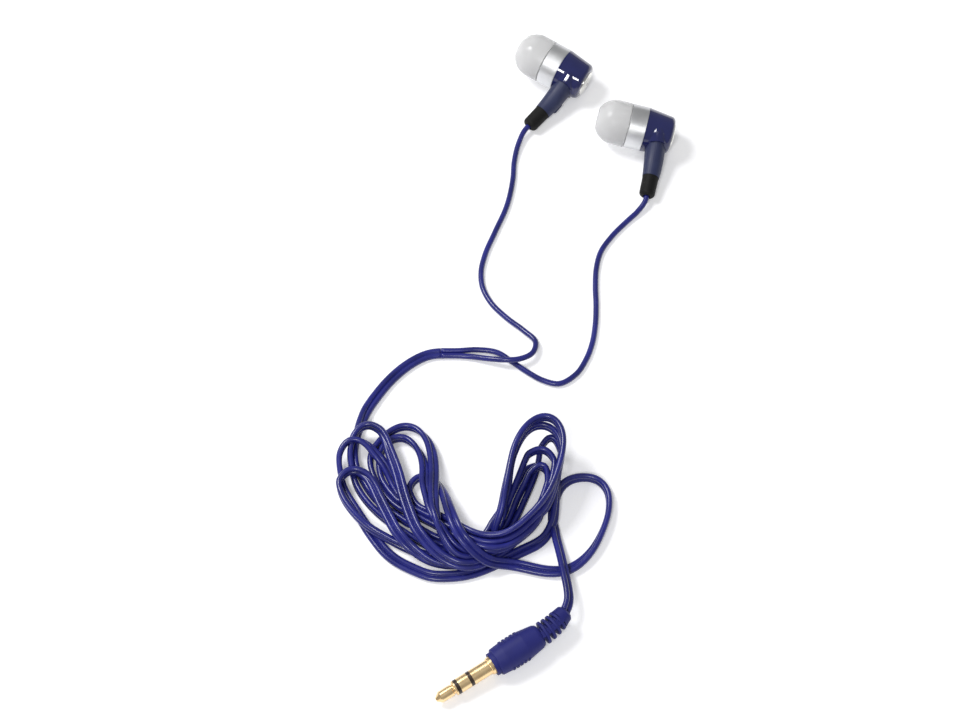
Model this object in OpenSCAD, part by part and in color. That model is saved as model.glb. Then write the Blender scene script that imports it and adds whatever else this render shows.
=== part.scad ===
// Wired in-ear earphones lying on a flat surface: two earpieces, a twin cord that parts into
// two single leads, the rest of the cord folded into a loose hank, and a 3.5 mm stereo plug.
// Millimetres, +Z up. X runs right, Y away from the user. The origin is on the surface, under
// the middle of the two earpieces.

/* [Front ring] */
// Outer diameter of the aluminium ring
ring_d = 11.5; // [11:0.1:13]
// Width of the ring's outer band
ring_w = 4.4; // [3.6:0.1:6]
// Wall of the ring
ring_wall = 0.9; // [0.7:0.05:1.1]
// Thickness of the web at the ring's front
ring_web = 0.6; // [0.4:0.05:0.9]
// Diameter of the collar that stands in front of the ring
collar_d = 9.9; // [9.4:0.1:10]
// Length of that collar
collar_w = 1.2; // [0.8:0.1:1.8]
// Wall of that collar
collar_wall = 0.8; // [0.5:0.05:1]

/* [Ear tip] */
// Length of the silicone tip from its skirt's edge to its front
tip_len = 8.4; // [8:0.1:10]
// Wall of the skirt
tip_wall = 0.5; // [0.3:0.05:0.6]
// Wall of the inner sleeve
sleeve_wall = 0.8; // [0.5:0.05:1]
// Radius of the mouth's rim
mouth_r = 2.95; // [2.9:0.05:3.2]

/* [Nozzle] */
// Outer diameter of the retaining lip
lip_d = 5; // [4.6:0.1:5.2]
// Length of the lip
lip_w = 0.8; // [0.5:0.1:1]
// Outer diameter of the neck behind the lip
neck_d = 4.5; // [4.1:0.1:4.5]
// Length of the sound tube from its front face to its lip's end
nozzle_len = 5.4; // [4.6:0.1:5.8]
// Bore of the sound tube
sound_bore_d = 3.2; // [2.6:0.1:3.4]
// Thickness of the nozzle's rear flange
flange_t = 0.6; // [0.5:0.1:0.7]
// Diameter of the mesh disc in the mouth
mesh_d = 3.8; // [3.6:0.1:3.9]
// Thickness of the mesh disc
mesh_t = 0.2; // [0.15:0.05:0.3]
// Diameter of each hole in the mesh
mesh_hole_d = 0.34; // [0.2:0.02:0.4]
// Spacing of the holes in the mesh
mesh_pitch = 0.6; // [0.5:0.05:0.8]

/* [Driver] */
// Wall of the driver frame's rim
frame_wall = 0.4; // [0.3:0.05:0.6]
// Depth of the driver frame
frame_depth = 2; // [1.8:0.1:2]
// Diameter of the magnet
magnet_d = 3.4; // [3:0.1:3.6]
// Thickness of the magnet
magnet_t = 1.2; // [0.8:0.1:1.4]
// Diameter of the pole plate
pole_d = 3.6; // [3.6:0.05:3.7]
// Thickness of the pole plate
pole_t = 0.4; // [0.3:0.05:0.5]
// Radial thickness of the voice coil
coil_wall = 0.2; // [0.15:0.01:0.25]
// Height of the voice coil
coil_h = 1.1; // [0.8:0.1:1.2]
// Wall of the yoke
yoke_wall = 0.6; // [0.4:0.05:0.8]
// Thickness of the yoke's base
yoke_base = 0.5; // [0.4:0.05:0.7]
// Thickness of the diaphragm
diaphragm_t = 0.1; // [0.06:0.02:0.14]
// Diameter of the terminal board
board_d = 4.6; // [4:0.1:4.7]
// Thickness of the terminal board
board_t = 0.4; // [0.3:0.05:0.6]

/* [Rear housing] */
// Length of the housing behind the ring
housing_len = 7.2; // [6.6:0.1:8]
// Taper of the housing on each side, in degrees
housing_taper = 7.5; // [6:0.5:9]
// Radius of the rounded edge round the back face
housing_round = 1.3; // [0.8:0.1:1.5]
// Wall of the housing
housing_wall = 0.8; // [0.6:0.05:0.9]
// Thickness of the back wall
back_wall = 1.1; // [1:0.05:1.4]
// Length of the spigot inside the ring
spigot_len = 0.9; // [0.6:0.05:0.95]
// Wall of the raised saddle round the stem's root
saddle_wall = 0.6; // [0.4:0.05:0.8]
// How far out the saddle reaches from the earpiece's axis
saddle_reach = 4.5; // [4.2:0.1:5]
// Diameter of the vent beside the saddle
vent_d = 0.7; // [0.5:0.1:0.9]
// Diameter of the round disc in the back face
disc_d = 6.6; // [5.6:0.1:6.8]
// Thickness of the disc at its rim
disc_t = 0.8; // [0.7:0.05:1]
// How deep the disc is let into the back face
disc_inset = 0.5; // [0.4:0.05:0.6]
// Rise of the disc's domed face
disc_dome = 0.25; // [0.1:0.05:0.4]
// Diameter of the port through the disc's centre
port_d = 0.9; // [0.6:0.1:1.2]

/* [Stem and boot] */
// Where the stem's axis starts, measured back from the ring
stem_offset = 2.85; // [2.85:0.05:3]
// Length of the curved stem from the earpiece's axis
stem_reach = 13; // [12:0.1:15]
// Width of the stem at its root
stem_root_w = 5.3; // [5:0.1:5.3]
// Height of the stem at its root
stem_root_h = 9.4; // [8.6:0.1:9.6]
// Flare of the stem's underside as a part of its upper flare
stem_under = 0.84; // [0.6:0.02:0.86]
// Diameter of the stem at its end
stem_end_d = 4.4; // [4.2:0.1:4.8]
// Wall of the stem
stem_wall = 0.7; // [0.5:0.05:0.8]
// Angle through which the stem curves forward along its length
stem_bend = 12; // [6:1:14]
// Backward lean of the left stem at its root
left_lean = 1; // [1:0.5:4]
// Backward lean of the right stem at its root
right_lean = 12; // [8:0.5:13]
// Length of the rubber boot
boot_len = 5.6; // [4.5:0.1:7]
// Diameter of the boot at the stem
boot_d = 4.2; // [4:0.1:4.4]
// Diameter of the boot near its end
boot_end_d = 4.05; // [3.8:0.05:4.2]
// Radius of the boot's rounded end
boot_round = 1; // [0.6:0.1:1.1]
// Depth of the recess that the cord leaves from
boot_recess = 1.4; // [1:0.1:2]
// Length of the raised pad on the left stem
pad_len = 3; // [2:0.1:4]
// Width of that pad
pad_w = 1.4; // [1:0.1:1.8]
// Rise of that pad
pad_rise = 0.2; // [0.1:0.05:0.3]

/* [Plug] */
// Diameter of the contacts
jack_d = 3.5; // [3.4:0.05:3.6]
// Length of the contacts from the tip to the flange
jack_len = 14; // [13.5:0.1:15]
// Distance from the tip to the front insulator
front_ins_at = 5.1; // [5:0.1:5.4]
// Distance from the tip to the rear insulator
rear_ins_at = 8.5; // [8.2:0.1:9]
// Width of each insulator
ins_w = 0.85; // [0.6:0.05:1]
// Thickness of the flange behind the contacts
jack_flange_t = 0.8; // [0.5:0.1:1.2]
// Diameter of that flange
jack_flange_d = 4.2; // [4:0.1:4.6]
// Radius of the tip's centre pin
pin_r = 0.4; // [0.35:0.01:0.42]
// Radial thickness of each nested tube in the plug
nest_wall = 0.28; // [0.2:0.01:0.3]
// Length of the moulded barrel
barrel_len = 12.9; // [12:0.1:14]
// Diameter of the barrel's front step
barrel_front_d = 5.5; // [5.2:0.1:5.8]
// Length of that step
barrel_step = 1; // [0.7:0.05:1.2]
// Diameter of the barrel behind the step
barrel_d = 6.5; // [6.1:0.1:6.6]
// Diameter of the barrel at its widest
barrel_mid_d = 6.9; // [6.7:0.1:7.1]
// Diameter of the barrel's rear end
barrel_end_d = 5.2; // [5:0.1:5.8]
// Number of cross ribs on each grip pad
grip_ribs = 5; // [3:1:6]
// Rise of the grip ribs
grip_rise = 0.2; // [0.1:0.05:0.3]
// Turn of the grip pads and the relief's webs about the plug's axis
grip_turn = 25; // [0:1:30]
// Length of the strain relief
relief_len = 7.9; // [7.4:0.1:9]
// Number of separate rings in the strain relief
relief_rings = 4; // [3:1:5]
// Width of each of those rings
relief_ring_w = 0.7; // [0.6:0.05:0.8]
// Diameter of the first ring
relief_d = 5.6; // [5.3:0.1:5.8]
// Diameter of the last ring
relief_last_d = 5; // [4.8:0.1:5.2]
// Diameter of the core between the rings
relief_core_d = 3; // [2.6:0.1:3.2]
// Length of the end collar
relief_collar_w = 2.4; // [1.8:0.1:2.6]
// Diameter of the end collar at its front
relief_collar_d = 4.7; // [4.4:0.1:4.8]
// Diameter of the end collar at the cord
relief_end_d = 3.9; // [3.7:0.1:4.1]
// Sideways bend of the strain relief, in degrees
relief_bend = 24; // [14:1:26]

/* [Cord] */
// Diameter of one strand of the cord
strand_d = 1.4; // [1.2:0.1:1.5]
// Thickness of the hank's left part
hank_left_h = 6; // [4:0.5:9]
// Radius of the hank's left fold
hank_left_r = 10; // [8:0.5:12]
// Radius of its fold nearest the plug
hank_fold_r = 11; // [9:0.5:12]
// Radius of its right fold
hank_right_r = 6.5; // [5:0.5:8]
// Thickness of the hank's right part
hank_right_h = 12; // [8:0.5:15]

/* [Layout] */
// Turn of the left earpiece on the surface
left_yaw = 30; // [24:1:36]
// Turn of the right earpiece on the surface
right_yaw = 12; // [8:1:18]
// Turn of the plug on the surface
plug_yaw = 32.2; // [29:0.2:36]
// Pitch of the plug, tip downwards
plug_pitch = 4; // [3:0.5:6]

/* [Hidden] */

$fn = 64;
LEFT = 0;
RIGHT = 1;

// Clearances
fit = 0.05;         // parts glued or pressed one inside another
tip_fit = 0.05;     // the ear tip's sleeve over the nozzle's lip
seat_gap = 0.1;     // the ear tip's skirt in front of the ring
skirt_gap = 0.3;    // the ear tip's skirt round the collar
nest_gap = 0.02;    // nested contacts and insulators
magnet_gap = 0.15;  // voice coil to pole plate and to yoke
rest_gap = 0.05;    // under a piece that hardly touches the surface
step = 0.01;        // overshoot of a cut past a face

// Places along an earpiece's axis, from the ring's rear edge: the front is negative
ring_r = ring_d / 2;
ring_bore_r = ring_r - ring_wall;
web_at = -ring_w + ring_web;
collar_front = -ring_w - collar_w;
collar_bore_r = collar_d / 2 - collar_wall;
nozzle_face = collar_front - 0.3;
nozzle_front = nozzle_face - nozzle_len;
driver_front = web_at + flange_t;
tip_rear = -ring_w - seat_gap;
tip_front = tip_rear - tip_len;
skirt_bore_r = collar_d / 2 + skirt_gap;
skirt_r = skirt_bore_r + tip_wall;
tip_dome_at = tip_front + sqrt(pow(skirt_r, 2) - pow(mouth_r, 2));
tip_bore_r = lip_d / 2 + tip_fit;
sleeve_r = tip_bore_r + sleeve_wall;
sleeve_rear = nozzle_face - 0.3;

// The driver, in depths behind its front
frame_r = ring_bore_r - fit;
ledge_at = 0.4;
coil_top = ledge_at + diaphragm_t;
pole_top = 1;
coil_r = pole_d / 2 + magnet_gap;
yoke_r = coil_r + coil_wall + magnet_gap + yoke_wall;
magnet_at = pole_top + pole_t;
yoke_base_at = magnet_at + magnet_t;
board_at = yoke_base_at + yoke_base;

// The housing's rounded back edge: the arc's centre and where it meets the tapered side
round_a = housing_len - housing_round;
taper_end = round_a + housing_round * sin(housing_taper);
round_r = ring_r - taper_end * tan(housing_taper) - housing_round * cos(housing_taper);
disc_r = disc_d / 2;

// The stem starts inside the housing and follows an arc
stem_start = 2.4;
stem_lean = [left_lean, right_lean];
curve = stem_bend / stem_reach;
sides = 32;
stem_steps = 10;

// Turns of a point about each axis
function turn_x(p, t) = [p[0], p[1] * cos(t) - p[2] * sin(t), p[1] * sin(t) + p[2] * cos(t)];
function turn_y(p, t) = [p[0] * cos(t) + p[2] * sin(t), p[1], -p[0] * sin(t) + p[2] * cos(t)];
function turn_z(p, t) = [p[0] * cos(t) - p[1] * sin(t), p[0] * sin(t) + p[1] * cos(t), p[2]];
function unit(v) = v / norm(v);

// Angle of the stem at a length along it, how far out that is, and how far back
function stem_angle(side, s) = stem_lean[side] - curve * min(s, stem_reach);
function past_arc(s) = max(0, s - stem_reach);
function stem_out(side, s) =
    (sin(stem_lean[side]) - sin(stem_angle(side, s))) / (curve * PI / 180)
    + past_arc(s) * cos(stem_angle(side, s));
function stem_back(side, s) = stem_offset
    + (cos(stem_angle(side, s)) - cos(stem_lean[side])) / (curve * PI / 180)
    + past_arc(s) * sin(stem_angle(side, s));
function stem_centre(side, s) = [stem_back(side, s), -stem_out(side, s), 0];

// Half width and half height of the stem: an even taper across, a flare upwards at the root
function stem_part(s) = max(0, min(1, (s - stem_start) / (stem_reach - stem_start)));
function stem_half_w(s) =
    stem_root_w / 2 + (stem_end_d - stem_root_w) / 2 * pow(stem_part(s), 2);
function stem_half_h(s, flare) =
    stem_end_d / 2 + flare * (stem_root_h - stem_end_d) / 2 * pow(1 - stem_part(s), 2.2);
function stem_ring(side, s, grow) = [
    for (j = [0 : sides - 1])
        let (up = sin(j * 360 / sides))
            stem_centre(side, s)
                + (stem_half_w(s) + grow) * cos(j * 360 / sides)
                    * [cos(stem_angle(side, s)), sin(stem_angle(side, s)), 0]
                + (stem_half_h(s, up > 0 ? 1 : stem_under) + grow) * up * [0, 0, 1]
];

// The earpiece lies on its tapered side, and the stem droops until its boot touches down
boot_tip = stem_reach + boot_len;
ear_tilt = housing_taper;
ear_height = ring_r * cos(ear_tilt);
ear_place = [[-8.2, 14.2, ear_height], [13, -5.2, ear_height]];
ear_yaw = [left_yaw, right_yaw];
function stem_droop(side) = asin(
    (ear_height - stem_back(side, boot_tip) * sin(ear_tilt) - boot_end_d / 2 - rest_gap)
    / (stem_out(side, boot_tip) * cos(ear_tilt))
);
function ear_turn(side, p) = turn_z(turn_y(p, ear_tilt), -ear_yaw[side]);
function ear_point(side, p) = ear_place[side] + ear_turn(side, p);
function stem_way(side) =
    turn_x([sin(stem_angle(side, boot_tip)), -cos(stem_angle(side, boot_tip)), 0],
        stem_droop(side));
function cord_start(side) = ear_point(side,
    turn_x(stem_centre(side, boot_tip - boot_recess), stem_droop(side)));
function cord_way(side) = ear_turn(side, stem_way(side));

// The plug rests on the front edge of its barrel's widest part
grip_at = 3.4;
plug_height = barrel_mid_d / 2 * cos(plug_pitch) - grip_at * sin(plug_pitch) + rest_gap;
plug_place = [-26.8, -151.7, plug_height];
function plug_turn(p) = turn_z(turn_y(p, -plug_pitch), plug_yaw);
relief_curve = relief_bend / relief_len;
function relief_angle(s) = relief_curve * s;
function relief_centre(s) = [
    barrel_len + sin(relief_angle(s)) / (relief_curve * PI / 180),
    (1 - cos(relief_angle(s))) / (relief_curve * PI / 180),
    0
];
tail_end = plug_place + plug_turn(relief_centre(relief_len + rest_gap));
tail_way = plug_turn([cos(relief_bend), sin(relief_bend), 0]);

// The cord's routes, chosen by hand. Each leg starts in its boot, and the legs meet at the join
strand_r = strand_d / 2;
lie = strand_r + rest_gap;
run_out = 2.6;
join = [-39.2, -69.5, lie];
leg_gap = strand_r + nest_gap;
left_route = [
    [-19.6, -6.2, 1.3], [-20.8, -11.6, lie], [-21.2, -17.1, lie], [-22.8, -25.6, lie],
    [-26, -34.1, lie], [-28.4, -40.6, lie], [-29.4, -45.6, lie], [-29.1, -50.1, lie],
    [-27.1, -54.7, lie], [-23.1, -59.3, lie], [-18.7, -63.3, 1], [-16, -66.7, 1.5],
    [-16.8, -70.1, 2], [-20.2, -72.1, 2.4], [-23.7, -72.3, 2.4], [-27.7, -71.5, 1.6],
    [-32.2, -70.5, 0.9]
];
right_route = [
    [10.6, -27.7, 1.1], [7.8, -30.5, lie], [3.8, -35.1, lie], [0.8, -39.9, lie], [-0.4, -44.6, lie],
    [-0.8, -50.1, lie], [-0.8, -56.1, lie], [-1.2, -61.9, lie], [-2, -66.5, lie],
    [-3.6, -71.1, lie], [-6.4, -75.6, lie], [-10.6, -78.1, lie], [-14.4, -77.1, lie],
    [-18.2, -74.7, lie], [-21.8, -71.9, lie], [-25.4, -69.3, lie], [-30.2, -68.5, lie]
];
lead_route = [
    [-43.8, -70.7, lie], [-47.6, -73.3, lie], [-51.4, -77.1, lie], [-54.7, -81.9, 1],
    [-57, -86.5, 1.6], [-58, -90.7, 2]
];
tail_route = [
    [-23.4, -125.7, lie], [-19, -126.7, lie], [-14.6, -127.8, lie], [-9.4, -127.6, lie],
    [-4.6, -124, lie], [-1.1, -118, lie], [0.8, -111.1, lie], [0.4, -106.9, lie],
    [-1.7, -104.4, lie], [-5.6, -103.8, lie], [-9.2, -104.9, lie], [-11.5, -108.2, lie],
    [-12.3, -113, lie], [-12.1, -118.3, 1.2], [-11.1, -123.6, 2.5], [-10.2, -129.4, 4],
    [-9.5, -133.9, 4.6]
];

// One closed skin over rings of points that all have the same number of points
module loft(rings) {
    n = len(rings[0]);
    last = len(rings) - 1;
    polyhedron(
        points = [for (ring = rings) for (p = ring) p],
        faces = concat(
            [[for (j = [0 : n - 1]) j]],
            [for (i = [0 : last - 1]) for (j = [0 : n - 1])
                [i * n + j, (i + 1) * n + j, (i + 1) * n + (j + 1) % n, i * n + (j + 1) % n]],
            [[for (j = [n - 1 : -1 : 0]) last * n + j]]
        )
    );
}

// A cord: one eight-sided tube along its route, flat side down
function way_at(route, i) =
    unit(route[min(i + 1, len(route) - 1)] - route[max(i - 1, 0)]);
function cord_ring(p, way, half_w, half_h) = [
    let (across = unit(cross(way, [0, 0, 1])), up = cross(across, way))
        for (j = [0 : 7])
            p + half_w * cos(j * 45 + 22.5) * across + half_h * sin(j * 45 + 22.5) * up
];
module cord(route, half_w, half_h) {
    loft([for (i = [0 : len(route) - 1])
        cord_ring(route[i], way_at(route, i), half_w, half_h)]);
}

// A profile of [radius, place] points turned about the X axis, places along +X
module turned(profile) rotate([0, 90, 0]) rotate_extrude() polygon(profile);

// A round tube along X from one place to another
module sleeve(outer_r, bore_r, from, to) {
    turned([[bore_r, from], [outer_r, from], [outer_r, to], [bore_r, to]]);
}
module disc(radius, from, to) {
    translate([from, 0, 0]) rotate([0, 90, 0]) cylinder(r = radius, h = to - from);
}

module place_ear(side) {
    translate(ear_place[side]) rotate([0, ear_tilt, -ear_yaw[side]]) children();
}
module place_stem(side) place_ear(side) rotate([stem_droop(side), 0, 0]) children();
module place_driver(side) place_ear(side) translate([driver_front, 0, 0]) children();
module place_plug() translate(plug_place) rotate([0, -plug_pitch, plug_yaw]) children();

module stem_shape(side, from, to, grow) {
    loft([for (i = [0 : stem_steps])
        stem_ring(side, from + (to - from) * i / stem_steps, grow)]);
}

// A ball-nosed skirt, hollow behind, with a sleeve that grips the sound tube
module ear_tip(side) {
    mouth_angle = acos(mouth_r / skirt_r);
    sleeve_angle = acos(sleeve_r / skirt_bore_r);
    steps = 12;
    function dome(radius, t) = [radius * cos(t), tip_dome_at - radius * sin(t)];
    color([0.92, 0.93, 0.94, 0.6]) place_ear(side) turned(concat(
        [[skirt_r - tip_wall / 2, tip_rear], [skirt_r, tip_rear - tip_wall / 2]],
        [for (k = [0 : steps]) dome(skirt_r, mouth_angle * k / steps)],
        [[tip_bore_r + 0.1, tip_front], [tip_bore_r, tip_front + 0.1],
            [tip_bore_r, sleeve_rear], [sleeve_r, sleeve_rear]],
        [for (k = [steps : -1 : 0]) dome(skirt_bore_r, sleeve_angle * k / steps)],
        [[skirt_bore_r, tip_rear - tip_wall / 2]]
    ));
}

module front_ring(side) {
    edge = 0.12;
    color([0.75, 0.76, 0.77]) place_ear(side) turned([
        [ring_bore_r, 0], [ring_r - edge, 0], [ring_r, -edge], [ring_r, -ring_w + edge],
        [ring_r - edge, -ring_w], [collar_d / 2, -ring_w], [collar_d / 2, collar_front + edge],
        [collar_d / 2 - edge, collar_front], [collar_bore_r, collar_front],
        [collar_bore_r, web_at], [ring_bore_r, web_at]
    ]);
}

module nozzle(side) {
    seat_r = mesh_d / 2 + fit;
    color([0.15, 0.16, 0.3]) place_ear(side) turned([
        [sound_bore_d / 2, driver_front], [frame_r, driver_front], [frame_r, web_at],
        [collar_bore_r - fit, web_at], [collar_bore_r - fit, nozzle_face + 0.3],
        [collar_bore_r - fit - 0.3, nozzle_face], [neck_d / 2, nozzle_face],
        [neck_d / 2, nozzle_front + lip_w + 0.2], [lip_d / 2, nozzle_front + lip_w],
        [lip_d / 2, nozzle_front + 0.2], [lip_d / 2 - 0.2, nozzle_front],
        [seat_r, nozzle_front], [seat_r, nozzle_front + mesh_t + 0.1],
        [sound_bore_d / 2, nozzle_front + mesh_t + 0.1]
    ]);
}

// Round holes on a triangular grid, as far out as a whole hole fits
module nozzle_mesh(side) {
    rows = floor(mesh_d / 2 / mesh_pitch);
    reach = mesh_d / 2 - mesh_hole_d;
    color([0.6, 0.6, 0.62]) place_ear(side) translate([nozzle_front + 0.1, 0, 0])
        rotate([0, 90, 0]) difference() {
            cylinder(d = mesh_d, h = mesh_t);
            for (i = [-rows - 1 : rows + 1])
                for (j = [-rows - 1 : rows + 1]) {
                    x = (i + j / 2) * mesh_pitch;
                    y = j * mesh_pitch * sin(60);
                    if (norm([x, y]) < reach)
                        translate([x, y, -step])
                            cylinder(d = mesh_hole_d, h = mesh_t + 2 * step, $fn = 16);
                }
        }
}

// A thin dome inside the coil and a shallow roll round it
module diaphragm(side) {
    rim_r = frame_r - frame_wall - fit;
    roll_in = coil_r + coil_wall;
    function skin(r) = r < coil_r
        ? ledge_at - 0.3 * (1 - pow(r / coil_r, 2))
        : r > roll_in ? ledge_at - 0.2 * sin(180 * (r - roll_in) / (rim_r - roll_in)) : ledge_at;
    radii = concat([for (k = [0 : 5]) coil_r * k / 5],
        [for (k = [0 : 8]) roll_in + (rim_r - roll_in) * k / 8]);
    count = len(radii);
    color([0.85, 0.8, 0.7]) place_driver(side) turned(concat(
        [for (r = radii) [r, skin(r)]],
        [for (k = [1 : count]) [radii[count - k], skin(radii[count - k]) + diaphragm_t]]
    ));
}

module voice_coil(side) {
    color([0.75, 0.4, 0.2]) place_driver(side)
        sleeve(coil_r + coil_wall, coil_r, coil_top, coil_top + coil_h);
}

module pole_plate(side) {
    color([0.6, 0.6, 0.6]) place_driver(side) disc(pole_d / 2, pole_top, magnet_at);
}

module magnet(side) {
    color([0.5, 0.5, 0.53]) place_driver(side) disc(magnet_d / 2, magnet_at, yoke_base_at);
}

module yoke(side) {
    color([0.65, 0.65, 0.68]) place_driver(side) turned([
        [0, yoke_base_at], [yoke_r - yoke_wall, yoke_base_at], [yoke_r - yoke_wall, pole_top],
        [yoke_r, pole_top], [yoke_r, board_at], [0, board_at]
    ]);
}

// Rim, a ledge that carries the diaphragm, and a vented floor round the yoke
module driver_frame(side) {
    floor_t = 0.6;
    vents = 6;
    floor_at = frame_depth - floor_t;
    rim_bore = frame_r - frame_wall;
    vent_r = (yoke_r + rim_bore) / 2;
    color([0.3, 0.3, 0.32]) place_driver(side) difference() {
        turned([
            [rim_bore, 0], [frame_r, 0], [frame_r, frame_depth], [yoke_r + fit, frame_depth],
            [yoke_r + fit, floor_at], [rim_bore - 0.3, floor_at],
            [rim_bore - 0.3, coil_top], [rim_bore, coil_top]
        ]);
        for (k = [0 : vents - 1])
            rotate([k * 360 / vents, 0, 0]) translate([floor_at - step, 0, vent_r])
                rotate([0, 90, 0]) cylinder(d = 0.7, h = floor_t + 2 * step, $fn = 24);
    }
}

// The board keeps clear of the wires on one side and carries two solder pads
module terminal_board(side) {
    pad = 0.9;
    color([0.1, 0.35, 0.2]) place_driver(side) {
        difference() {
            disc(board_d / 2, board_at, board_at + board_t);
            translate([board_at - step, -board_d, board_d / 4])
                cube([board_t + 2 * step, 2 * board_d, board_d]);
        }
        for (y = [-1, 1])
            translate([board_at + board_t, y * board_d / 5 - pad / 2, -pad])
                cube([0.15, pad, pad]);
    }
}

module rear_housing(side) {
    bore_r = ring_bore_r - fit - housing_wall;
    inner_end = housing_len - back_wall;
    inner_drop = inner_end * tan(housing_taper);
    color([0.14, 0.15, 0.36]) place_ear(side) difference() {
        union() {
            turned(concat(
                [[0, 0], [ring_r, 0]],
                [for (t = [housing_taper : (90 - housing_taper) / 8 : 90.01])
                    [round_r + housing_round * cos(t), round_a + housing_round * sin(t)]],
                [[0, housing_len]]
            ));
            disc(frame_r, -spigot_len, step);
            intersection() {
                rotate([stem_droop(side), 0, 0])
                    stem_shape(side, stem_start - 1.4, saddle_reach, saddle_wall);
                disc(2 * ring_r, 0, housing_len);
            }
        }
        turned([
            [0, -spigot_len - step], [bore_r, -spigot_len - step], [bore_r, 0],
            [ring_r - housing_wall, 0.6],
            [ring_r - housing_wall - inner_drop, inner_end - 0.6],
            [ring_r - housing_wall - inner_drop - 0.6, inner_end], [0, inner_end]
        ]);
        rotate([stem_droop(side), 0, 0])
            stem_shape(side, stem_start - fit, stem_start + saddle_reach, fit);
        disc(disc_r + fit, housing_len - disc_inset, housing_len + step);
        rotate([stem_droop(side) + 48, 0, 0]) translate([0.9, -ring_r + 1.2, 0])
            rotate([90, 0, 0]) cylinder(d = vent_d, h = 2, $fn = 24);
    }
}

// A shallow dome with one turned groove and a port through its centre
module rear_disc(side) {
    base = housing_len - disc_inset;
    groove_r = disc_r * 0.72;
    groove = 0.12;
    function face(r) = base + disc_t + disc_dome * (1 - pow(r / disc_r, 2));
    color([0.85, 0.85, 0.84]) place_ear(side) turned(concat(
        [[port_d / 2, base], [disc_r, base], [disc_r, base + disc_t - 0.15],
            [disc_r - 0.15, face(disc_r)]],
        [[groove_r + groove, face(groove_r + groove)], [groove_r, face(groove_r) - groove],
            [groove_r - groove, face(groove_r - groove)]],
        [for (k = [3 : -1 : 1]) [groove_r * k / 4 + port_d / 8, face(groove_r * k / 4)]],
        [[port_d / 2, face(port_d / 2)]]
    ));
}

// A curved horn: taller at its root than it is wide, round at its end, and hollow
module stem(side) {
    color([0.22, 0.24, 0.42]) place_stem(side) {
        difference() {
            stem_shape(side, stem_start, stem_reach, 0);
            stem_shape(side, stem_start - step, stem_reach + step, -stem_wall);
        }
        if (side == LEFT) side_pad(side);
    }
}

// A low bare pad that tells the left stem from the right one by touch
module side_pad(side) {
    middle = stem_reach - pad_len / 2 - 2.2;
    angle = stem_angle(side, middle);
    sunk = 0.4;
    translate(stem_centre(side, middle)) rotate([0, 0, angle])
        rotate([0, 35, 0]) translate([stem_half_w(middle) - sunk, 0, 0])
            rotate([0, 90, 0]) linear_extrude(sunk + pad_rise)
                offset(0.3) square([pad_w - 0.6, pad_len - 0.6], center = true);
}

module cable_boot(side) {
    mouth_r = strand_r + 0.25;
    spigot_r = stem_end_d / 2 - stem_wall - 2 * fit;
    spigot = 1.4;
    angle = stem_angle(side, boot_tip);
    color([0.14, 0.14, 0.13]) place_stem(side)
        translate(stem_centre(side, stem_reach)) rotate([0, 0, angle - 90]) turned(concat(
            [[0, -spigot], [spigot_r, -spigot], [spigot_r, 0], [boot_d / 2, 0]],
            [for (t = [0 : 15 : 90])
                [boot_end_d / 2 - boot_round * (1 - cos(t)),
                    boot_len - boot_round + boot_round * sin(t)]],
            [[mouth_r, boot_len - 0.1], [mouth_r, boot_len - boot_recess],
                [0, boot_len - boot_recess]]
        ));
}

// The plug's contacts nest on one axis. Places run from the tip towards the cord
jack_r = jack_d / 2;
tip_at = -jack_len - jack_flange_t;
front_ins = tip_at + front_ins_at;
ring_band = front_ins + ins_w;
rear_ins = tip_at + rear_ins_at;
sleeve_band = rear_ins + ins_w;
nest_1 = pin_r + nest_gap + nest_wall;
nest_2 = nest_1 + nest_gap + nest_wall;
nest_3 = nest_2 + nest_gap + nest_wall;
nest_end = 3;
nest_stagger = 0.7;
shank_r = jack_r - 0.15;    // the sleeve contact inside the core

module plug_tip() {
    head_r = jack_r - 0.4;
    neck_r = jack_r - 0.6;
    color([0.9, 0.76, 0.45]) place_plug() turned([
        [0, tip_at + 0.15], [0.2, tip_at], [0.45, tip_at], [head_r - 0.15, tip_at + 0.95],
        [head_r, tip_at + 1.2], [head_r, tip_at + 4.1], [neck_r, tip_at + 4.25],
        [neck_r, tip_at + 4.6], [jack_r - 0.1, tip_at + 4.7], [jack_r, tip_at + 4.8],
        [jack_r, front_ins], [pin_r, front_ins], [pin_r, nest_end + 3 * nest_stagger],
        [0, nest_end + 3 * nest_stagger]
    ]);
}

// A band at the surface with a thinner tube that runs back inside the next one
module nested(bore_r, tube_r, from, band_w, to) {
    turned([
        [bore_r + nest_gap, from], [jack_r, from], [jack_r, from + band_w],
        [tube_r, from + band_w], [tube_r, to], [bore_r + nest_gap, to]
    ]);
}
module plug_front_insulator() {
    color([0.2, 0.15, 0.1]) place_plug()
        nested(pin_r, nest_1, front_ins, ins_w, nest_end + 2 * nest_stagger);
}
module plug_ring() {
    color([0.9, 0.76, 0.45]) place_plug()
        nested(nest_1, nest_2, ring_band, rear_ins - ring_band, nest_end + nest_stagger);
}
module plug_rear_insulator() {
    color([0.2, 0.15, 0.1]) place_plug()
        nested(nest_2, nest_3, rear_ins, ins_w, nest_end);
}
module plug_sleeve() {
    flange_r = jack_flange_d / 2;
    color([0.9, 0.76, 0.45]) place_plug() turned([
        [nest_3 + nest_gap, sleeve_band], [jack_r, sleeve_band], [jack_r, -jack_flange_t],
        [flange_r - 0.1, -jack_flange_t], [flange_r, -jack_flange_t + 0.1], [flange_r, 0],
        [shank_r, 0], [shank_r, nest_end - nest_stagger],
        [nest_3 + nest_gap, nest_end - nest_stagger]
    ]);
}

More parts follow.
